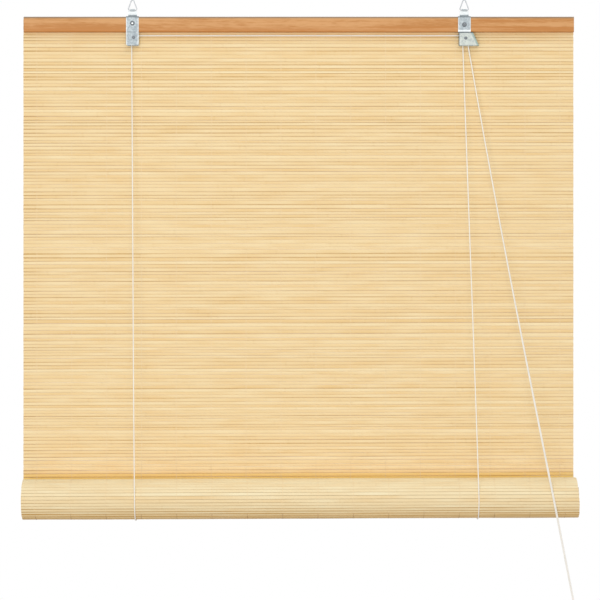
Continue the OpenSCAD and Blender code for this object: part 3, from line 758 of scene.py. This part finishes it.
def taut_line(foot, x, groove, sag=0.0):
    """A taut cord from the roll's front to the box of its sheave: straight, less a bow of u times (1 - u)
    cubed towards the viewer and a sag of u times (1 - u) to the left."""
    foot = np.array([foot[0], foot[1], foot[2] + SOFT_GAP])
    head = np.array([x, groove, CORD_EXIT])
    u = np.linspace(0, 1, LINE_POINTS)[:, None]
    bow = np.array([0.0, STRAND_BOW, 0.0]) * u * (1 - u) ** 3
    return foot + (head - foot) * u - bow - np.array([4 * sag, 0.0, 0.0]) * u * (1 - u)


def guided_points(x, groove, axle, sizes):
    """The upright run of a cord from its sheave to the box's foot: a braided tube whose lower end is rounded
    to a half ball, about which the cord below may swing."""
    round_end = sizes.cord_width / 2
    line = np.array([[x, groove, axle], [x, groove, CORD_EXIT - round_end]])
    points = cord_points(line, sizes, step=GUIDED_STEP)
    past = np.clip((CORD_EXIT - points[..., 2:]) / round_end, 0, 0.999)
    centre = np.array([x, groove])
    points[..., :2] = centre + (points[..., :2] - centre) * np.sqrt(1 - past**2)
    return points


def sling_line(x):
    """Half a circle under the roll, from its front round to its back."""
    a = np.radians(np.linspace(180, 360, SLING_POINTS))
    y, z = SLING_AXIS
    return np.stack([np.full_like(a, x), y + SLING_RADIUS * np.cos(a), z + SLING_RADIUS * np.sin(a)], axis=-1)


def knot_line(top, radius, turns, strand):
    """A barrel knot of a cord with that strand radius: a helix whose radius swells from the core and falls
    back to it, so its ends tuck in."""
    t = np.linspace(0, 1, int(turns * KNOT_POINTS))
    swell = np.clip(np.sin(math.pi * t), 0, 1) ** KNOT_SWELL
    reach = KNOT_CORE + (radius - strand - KNOT_CORE) * swell
    a = 2 * math.pi * turns * t
    drop = strand + 2 * (radius - strand) * t
    return np.stack([top[0] + reach * np.cos(a), top[1] + reach * np.sin(a), top[2] - drop], axis=-1)


# For copies of CAD nodes: the distance within which points are one, before and after the edges are rounded,
# the angle in radians below which faces are flat, and the one in degrees above which an edge is rounded
SAME_POINT = 1e-6
SAME_AFTER = 2e-6
FLAT_BELOW = 0.01
ROUNDED_ABOVE = 50


def refined(node, name, body, finish, edge, sharp=30.0):
    """A copy of a CAD node with its seams merged, smooth round faces and slightly rounded edges."""
    mesh = frame["nodes"][node].data.copy()
    mesh.name = name
    work = bmesh.new()
    work.from_mesh(mesh)
    bmesh.ops.remove_doubles(work, verts=work.verts, dist=SAME_POINT)
    bmesh.ops.dissolve_limit(work, angle_limit=FLAT_BELOW, verts=work.verts, edges=work.edges)
    work.to_mesh(mesh)
    work.free()
    mesh.polygons.foreach_set("use_smooth", np.ones(len(mesh.polygons), bool))
    mesh.set_sharp_from_angle(angle=math.radians(sharp))
    mesh.materials.clear()
    mesh.materials.append(finish)
    piece = bpy.data.objects.new(name, mesh)
    bpy.context.scene.collection.objects.link(piece)
    if edge > 0:
        bevel = piece.modifiers.new("rounded edges", "BEVEL")
        bevel.width = edge
        bevel.segments = 2
        bevel.limit_method = "ANGLE"
        bevel.angle_limit = math.radians(ROUNDED_ABOVE)
        piece.modifiers.new("closed seams", "WELD").merge_threshold = SAME_AFTER
    return held(piece, body, node)


def dressed(node, finish):
    """Gives a CAD node that stays in view a new finish."""
    mesh = frame["nodes"][node].data
    mesh.materials.clear()
    mesh.materials.append(finish)


# The photo's view: the camera's place, its lens and sensor in millimetres, and how far it sees
CAMERA_PLACE = (0.0029, -4.394, -0.5435)
CAMERA_LENS = 145.2
CAMERA_SENSOR = 36.0
CAMERA_REACH = 100.0

# The lamps: name, place, size in metres and power in watts, and the point that they all face
LAMPS = (
    ("front softbox", (-0.5, -4.2, -0.25), 2.6, 79.5),
    ("top softbox", (0.5, -1.7, 2.2), 1.8, 15.0),
    ("back softbox", (0.4, 3.4, 1.6), 2.6, 62.0),
)
LAMP_AIM = np.array([0.0, 0.0, -0.5])

# The white surroundings' strength as light, and as the camera, metal and glass see them
SKY_LIGHT = 0.50
SKY_SEEN = 1.0

FLOOR_RADIUS = 1.8
FLOOR_HEIGHT = -1.45
FLOOR_SIDES = 96


class BLIND_OT_stage(Operator):
    """Sets the camera at the photo's view, the soft studio light and the pale floor"""

    bl_idname = "blind.stage"
    bl_label = "Stage"

    def execute(self, context):
        scene = context.scene
        scene.view_settings.view_transform = "Standard"
        lens = bpy.data.cameras.new("photo view")
        lens.sensor_width = CAMERA_SENSOR
        lens.lens = CAMERA_LENS
        lens.clip_end = CAMERA_REACH
        camera = bpy.data.objects.new("photo view", lens)
        camera.location = CAMERA_PLACE
        camera.rotation_euler = (math.radians(90), 0, 0)
        scene.collection.objects.link(camera)
        scene.camera = camera
        for name, place, size, power in LAMPS:
            lamp = bpy.data.lights.new(name, "AREA")
            lamp.size = size
            lamp.energy = power
            light = bpy.data.objects.new(name, lamp)
            light.location = place
            aim = LAMP_AIM - np.array(place)
            tilt = math.acos(-aim[2] / np.linalg.norm(aim))
            light.rotation_euler = (tilt, 0, math.atan2(aim[1], aim[0]) - math.pi / 2)
            scene.collection.objects.link(light)
        self.sky(scene)
        self.ground(scene)
        return {"FINISHED"}

    def sky(self, scene):
        """White where the camera, metal or glass sees it, and a softer white as light."""
        world = bpy.data.worlds.new("studio")
        world.use_nodes = True
        scene.world = world
        tree = world.node_tree
        path = tree.nodes.new("ShaderNodeLightPath")
        seen = path.outputs["Is Camera Ray"]
        for output in ("Is Glossy Ray", "Is Transmission Ray"):
            either = tree.nodes.new("ShaderNodeMath")
            either.operation = "MAXIMUM"
            tree.links.new(seen, either.inputs[0])
            tree.links.new(path.outputs[output], either.inputs[1])
            seen = either.outputs[0]
        level = tree.nodes.new("ShaderNodeMapRange")
        level.inputs["To Min"].default_value = SKY_LIGHT
        level.inputs["To Max"].default_value = SKY_SEEN
        tree.links.new(seen, level.inputs["Value"])
        tree.links.new(level.outputs[0], tree.nodes["Background"].inputs["Strength"])
        tree.nodes["Background"].inputs["Color"].default_value = (1, 1, 1, 1)

    def ground(self, scene):
        """A flat round floor below the pull cord's knot."""
        a = np.linspace(0, 2 * math.pi, FLOOR_SIDES, endpoint=False)
        height = np.full(FLOOR_SIDES, FLOOR_HEIGHT)
        rim = np.stack([FLOOR_RADIUS * np.cos(a), FLOOR_RADIUS * np.sin(a), height], axis=-1)
        mesh = bpy.data.meshes.new("floor")
        mesh.from_pydata(rim.tolist(), [], [list(range(FLOOR_SIDES))])
        floor = bpy.data.objects.new("floor", mesh)
        scene.collection.objects.link(floor)
        pale = Finish("studio floor")
        place = pale.axes()
        cloud = pale.noise(pale.vector(place[0] * 3.0, place[1] * 3.0, 0.0))
        tint = linear(scene.blind_colours.floor)
        mesh.materials.append(pale.set(Base_Color=tint, Roughness=0.8 + cloud * 0.1))


class BLIND_OT_cords(Operator):
    """Lays the lift cords, the slings, the transfer cord and the doubled pull cord"""

    bl_idname = "blind.cords"
    bl_label = "Cords"

    def execute(self, context):
        sizes = context.scene.blind_sizes
        finish = finish_of("cord cotton", cord_cotton)
        front = SLING_AXIS[0] - SLING_RADIUS
        left_foot = (LEFT_SLING, front, SLING_AXIS[1])
        right_foot = (RIGHT_SLING, front, SLING_AXIS[1])
        left_x = LEFT_AXLE[0] - LEFT_SHEAVE
        right_x = RIGHT_AXLE[0] - RIGHT_SHEAVE
        pull_x = RIGHT_AXLE[0] + RIGHT_SHEAVE
        taut = {}
        for node, foot, x, groove, axle, sag in (
            ("left_front_strand", left_foot, left_x, REAR_GROOVE, LEFT_AXLE[1], 0.0),
            ("right_front_strand", right_foot, right_x, FRONT_GROOVE, RIGHT_AXLE[1], 0.0),
            ("pull_left_upper", PULL_EXIT, pull_x, FRONT_GROOVE, RIGHT_AXLE[1], PULL_SAG),
            ("pull_right_upper", PULL_EXIT + PULL_BESIDE, pull_x, REAR_GROOVE, RIGHT_AXLE[1], PULL_SAG),
        ):
            taut[node] = taut_line(foot, x, groove, sag)
            points = guided_points(x, groove, axle, sizes)
            held(loft_piece(f"{node}_guided", points, finish, "cord"), "head", node)
        for node, x in (("left_rear_strand", LEFT_SLING), ("right_rear_strand", RIGHT_SLING)):
            back = SLING_AXIS[0] + SLING_RADIUS
            taut[node] = np.array([[x, back, SLING_AXIS[1] + SOFT_GAP], [x, back, REAR_TOP]])
        for node, line in taut.items():
            line = line if node.startswith("pull") else leaned(line, sizes)
            piece = held(loft_piece(f"{node}_cord", cord_points(line, sizes), finish, "cord"), "head", node)
            gathers(piece)
        left = (LEFT_AXLE[0], REAR_GROOVE, LEFT_AXLE[1])
        right = (RIGHT_AXLE[0], REAR_GROOVE, RIGHT_AXLE[1])
        across = np.concatenate([arc(left, LEFT_SHEAVE, 180, 90), arc(right, RIGHT_SHEAVE, 90, 0)])
        over = arc((RIGHT_AXLE[0], FRONT_GROOVE, RIGHT_AXLE[1]), RIGHT_SHEAVE, 180, 0)
        for name, node, line in (
            ("transfer_cord_braid", "transfer_cord", across),
            ("lift_wrap_braid", "right_lift_wrap", over),
        ):
            held(loft_piece(name, cord_points(line, sizes), finish, "cord"), "head", node)
        for node, x in (("left_bight", LEFT_SLING), ("right_bight", RIGHT_SLING)):
            points = cord_points(leaned(sling_line(x), sizes), sizes, reference=(1.0, 0.0, 0.0))
            held(loft_piece(f"{node}_cord", points, finish, "cord"), "slings", node)
        self.pull(sizes, finish)
        return {"FINISHED"}

    def pull(self, sizes, finish):
        """The free ends of the pull cord, from the roll's front down into their knot."""
        knot = KnotMaker(sizes, finish).pull_knot()
        for node, shift in (("pull_left_lower", np.zeros(3)), ("pull_right_lower", PULL_BESIDE)):
            start = PULL_EXIT + shift
            u = np.linspace(0, 1, PULL_POINTS)[:, None]
            path = np.concatenate([start + PULL_RUN * u, [start + PULL_RUN + PULL_DROP]])
            piece = loft_piece(f"{node}_cord", cord_points(path, sizes), finish, "cord")
            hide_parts(node)
            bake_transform(piece)


class KnotMaker:
    """Knots of the lift cord, each a wound barrel over a core of its own cord."""

    def __init__(self, sizes, finish):
        self.sizes = sizes
        self.finish = finish

    def knot(self, name, top, radius, turns, tails):
        """A barrel, and straight or splayed tails with as many rings, as loops of one mesh."""
        line = knot_line(top, radius, turns, self.sizes.cord_width / 2)
        loops = [cord_points(line, self.sizes, reference=UP, step=KNOT_STEP)]
        steps = loops[0].shape[1] - 1
        for tail in tails:
            run = float(np.linalg.norm(np.diff(tail, axis=0), axis=1).sum())
            loops.append(cord_points(tail, self.sizes, step=run / steps))
        return loft_piece(name, np.concatenate(loops), self.finish, "cord")

    def pull_knot(self):
        """The knot that ends the pull cord, with both tails cut below it."""
        top = PULL_EXIT + PULL_RUN + PULL_DROP + PULL_BESIDE / 2
        u = np.linspace(0, 1, TAIL_POINTS)[:, None]
        apart = np.array([TAIL_SPREAD, 0.0, 0.0])
        down = np.array([0.0, 0.0, -1.0])
        tails = [
            top + side * apart + TAIL_START * down + TAIL_LENGTH * down * u + side * apart * u**3
            for side in (-1, 1)
        ]
        return held(self.knot("pull_knot_cord", top, KNOT_RADIUS, PULL_TURNS, tails), "head", "pull_knot")


class BLIND_OT_knots(Operator):
    """Ties the knots that hold the lift cords' ends above their staples"""

    bl_idname = "blind.knots"
    bl_label = "Rear knots"

    def execute(self, context):
        sizes = context.scene.blind_sizes
        maker = KnotMaker(sizes, finish_of("cord cotton", cord_cotton))
        back = SLING_AXIS[0] + SLING_RADIUS + sizes.cord_width / 2
        for node, x in (("left_rear_knot", LEFT_SLING), ("right_rear_knot", RIGHT_SLING)):
            top = np.array([x, back, REAR_TOP + 2 * sizes.cord_width])
            knot = maker.knot(f"{node}_cord", top, sizes.cord_width, REAR_TURNS, [top + REAR_TAIL])
            held(knot, "head", node)
        return {"FINISHED"}


# The seed of the hanging mat's random draws, and how far its slats' flat backs reach to each side
MAT_SEED = 11
MAT_BACK = 0.488

# The lowest hanging slat that shows above the roll, the painted golden shade that the roll's shelter adds to
# the tones from there up, and how dark at least the painted shade in the grooves of the first two is
FIRST_SEEN = 5
SHELTERED = np.array([0.9, 0.6, 0.08, -0.02])
SHELTERED_GAP = 0.9

# How much painted shade the lowest threads get beside the roll, and over how many slats that fades
THREAD_SHADE_MOST = 0.45
THREAD_SHADE_SLATS = 14


class BLIND_OT_mat(Operator):
    """Hangs the slat mat, slat by slat, with its binding threads"""

    bl_idname = "blind.mat"
    bl_label = "Hanging mat"

    def execute(self, context):
        sizes = context.scene.blind_sizes
        rng = np.random.default_rng(MAT_SEED)
        frames = panel_frames(sizes, rng)
        points, values = slat_points(frames, sizes, rng, ends=(0.0, 0.0), back=MAT_BACK)
        # Painted shade just above the roll: golden tones and darker grooves
        values["tone"][FIRST_SEEN : FIRST_SEEN + len(SHELTERED)] += SHELTERED[:, None, None]
        grooves = values["gap"][FIRST_SEEN : FIRST_SEEN + 2]
        np.maximum(grooves, SHELTERED_GAP, out=grooves)
        slats = loft_piece("mat_slats", points, finish_of("bamboo", bamboo), "mat", **values)
        held(slats, "head", "mat_panel")
        gathers(slats)
        threads = np.concatenate([thread_points(frames, sizes, face, 0.0) for face in (-1, 1)])
        finish = finish_of("thread cotton", thread_cotton)
        # Painted shade on the lowest threads, beside the roll, fading upwards
        rubbed = np.zeros(threads.shape[:3])
        fade = np.repeat(np.linspace(THREAD_SHADE_MOST, 0.0, THREAD_SHADE_SLATS), len(THREAD_STEPS))
        rubbed[: sizes.thread_count, : len(fade)] = fade[:, None]
        binding = loft_piece("mat_threads", threads, finish, "thread", rubbed=rubbed)
        held(binding, "head", "warp_threads")
        gathers(binding)
        return {"FINISHED"}


# The seed of the roll's random draws, and how far its slats' flat backs reach to each side
ROLL_SEED = 23
ROLL_BACK = 0.487

# The roll's right end: how far it is set back, and how far a slat that faces back or up has crept along X,
# in units of the bulge
ROLL_SETBACK = 0.0015
ROLL_CREEP = np.array([-0.3, -1.0])

# How far down a slat faces where the painted shade of the roll's foot begins, the stretch over which it sets
# in, and the turns that carry threads
FOOT_FROM = 0.62
FOOT_BLEND = 0.2
THREADED_TURNS = 1.15


class BLIND_OT_roll(Operator):
    """Winds the lower slats into the loose roll, with the threads on its outer turn"""

    bl_idname = "blind.roll"
    bl_label = "Roll"

    def execute(self, context):
        sizes = context.scene.blind_sizes
        rng = np.random.default_rng(ROLL_SEED)
        frames = roll_frames(sizes, rng)
        out = frames[1]
        down = -out[:, 1]
        crept = sizes.roll_shift - ROLL_SETBACK + out @ ROLL_CREEP * sizes.roll_bulge
        points, values = slat_points(frames, sizes, rng, ends=(sizes.roll_shift, crept), back=ROLL_BACK)
        under = np.clip((down - FOOT_FROM) / FOOT_BLEND, 0, 1)
        # Painted light and shade: golden at the foot, which faces down, and pale on top, which faces up, with
        # painted shade in the grooves that deepens towards the foot
        painted_tone = 0.22 + 0.45 * under - 0.25 * np.clip(-down, 0, 1)
        values["tone"] = 0.55 * values["tone"] + painted_tone[:, None, None]
        values["gap"] = (0.45 + 0.55 * values["gap"]) * np.clip(0.2 + 1.9 * down, 0.1, 1.6)[:, None, None]
        slats = loft_piece("roll_slats", points, finish_of("bamboo", bamboo), "roll", **values)
        held(slats, "roll", "mat_roll")
        outer = int(THREADED_TURNS * 2 * math.pi * sizes.roll_radius / sizes.slat_pitch)
        threads = thread_points(tuple(part[:outer] for part in frames), sizes, 1, sizes.roll_shift)
        # Painted shade on the threads at the roll's foot, where it faces down
        rubbed = np.repeat(under[:outer], len(THREAD_STEPS))[None, :, None]
        finish = finish_of("thread cotton", thread_cotton)
        binding = loft_piece("roll_threads", threads, finish, "thread", rubbed=rubbed)
        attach(binding, "roll")
        return {"FINISHED"}


# Points round a ring's corner, and sides of its wire
CORNER_STEPS = 18
WIRE_SIDES = 16


class BLIND_OT_rings(Operator):
    """Bends the two triangular wire rings"""

    bl_idname = "blind.rings"
    bl_label = "Rings"

    def execute(self, context):
        sizes = context.scene.blind_sizes
        finish = finish_of("bright steel", bright_steel)
        for node in ("left_ring", "right_ring"):
            low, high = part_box(node)
            points = self.ring((low.x + high.x) / 2, sizes)
            held(loft_piece(f"{node}_wire", points, finish, "wire", ring_closed=True), node, node)
        return {"FINISHED"}

    def ring(self, x, sizes):
        """A round wire carried round three corner arcs of one radius, with straight legs between them."""
        r = sizes.ring_corner
        half = sizes.ring_width / 2 - r
        top = sizes.wire_width / 2 - r
        foot = sizes.wire_width / 2 - sizes.ring_height + r
        lean = math.degrees(math.atan2(top - foot, half))
        corners = (
            ((-half, foot), 270, 90 + lean),
            ((0, top), 90 + lean, 90 - lean),
            ((half, foot), 90 - lean, -90),
        )
        arcs = [arc((x + at[0], 0.0, at[1]), r, start, end, CORNER_STEPS) for at, start, end in corners]
        line = np.concatenate(arcs)
        ahead = np.roll(line, -1, axis=0) - np.roll(line, 1, axis=0)
        ahead /= np.linalg.norm(ahead, axis=1, keepdims=True)
        side = np.cross(ahead, (0.0, 1.0, 0.0))
        turn = np.arange(WIRE_SIDES) / WIRE_SIDES * 2 * math.pi
        ring = np.cos(turn)[None, :, None] * side[:, None, :]
        ring = ring + np.sin(turn)[None, :, None] * np.array([0.0, 1.0, 0.0])
        return (line[:, None, :] + sizes.wire_width / 2 * ring)[None]


class BLIND_OT_hangers(Operator):
    """Rounds the pressed hangers, the pulley box and the cord lock, with their screws, rivets and sheaves"""

    bl_idname = "blind.hangers"
    bl_label = "Hangers and lock"

    def execute(self, context):
        edge = context.scene.blind_sizes.sheet_edge
        zinc = finish_of("zinc sheet", zinc_sheet)
        steel = finish_of("dull steel", dull_steel)
        for node in ("left_hanger", "right_hanger", "left_pulley_box", "lock_housing"):
            refined(node, f"{node}_sheet", "head", zinc, edge)
        for node in ("left_hanger_screw", "right_hanger_screw", "left_axle", "right_axle"):
            refined(node, f"{node}_steel", "head", steel, edge / 3)
        for body in ("left_pulley", "right_pulley", "lock_roller"):
            refined(body, f"{body}_steel", body, steel, 0)
        return {"FINISHED"}


class BLIND_OT_rail(Operator):
    """Finishes the head rail, the batten inside the roll and the staples"""

    bl_idname = "blind.rail"
    bl_label = "Rail and staples"

    def execute(self, context):
        dressed("head_rail", finish_of("rail wood", rail_wood))
        dressed("bottom_batten", finish_of("rail wood", rail_wood))
        for node in ("mat_staples", "cord_staples"):
            dressed(node, finish_of("bright steel", bright_steel))
        return {"FINISHED"}


class BLIND_PT_pieces(Panel):
    """Lists the steps that dress the blind"""

    bl_label = "Bamboo roll up blind"
    bl_space_type = "VIEW_3D"
    bl_region_type = "UI"
    bl_category = "Blind"

    def draw(self, context):
        for step in STEPS:
            self.layout.operator(step.bl_idname)


STEPS = (
    BLIND_OT_stage,
    BLIND_OT_cords,
    BLIND_OT_knots,
    BLIND_OT_mat,
    BLIND_OT_roll,
    BLIND_OT_rings,
    BLIND_OT_hangers,
    BLIND_OT_rail,
)
CLASSES = (BlindSizes, BlindColours, *STEPS, BLIND_PT_pieces)


def register():
    for cls in CLASSES:
        bpy.utils.register_class(cls)
    bpy.types.Scene.blind_sizes = PointerProperty(type=BlindSizes)
    bpy.types.Scene.blind_colours = PointerProperty(type=BlindColours)


def unregister():
    del bpy.types.Scene.blind_colours
    del bpy.types.Scene.blind_sizes
    for cls in reversed(CLASSES):
        bpy.utils.unregister_class(cls)


def main():
    register()
    bpy.ops.blind.stage()
    bpy.ops.blind.cords()
    bpy.ops.blind.knots()
    bpy.ops.blind.mat()
    bpy.ops.blind.roll()
    bpy.ops.blind.rings()
    bpy.ops.blind.hangers()
    bpy.ops.blind.rail()


if __name__ == "__main__":
    main()
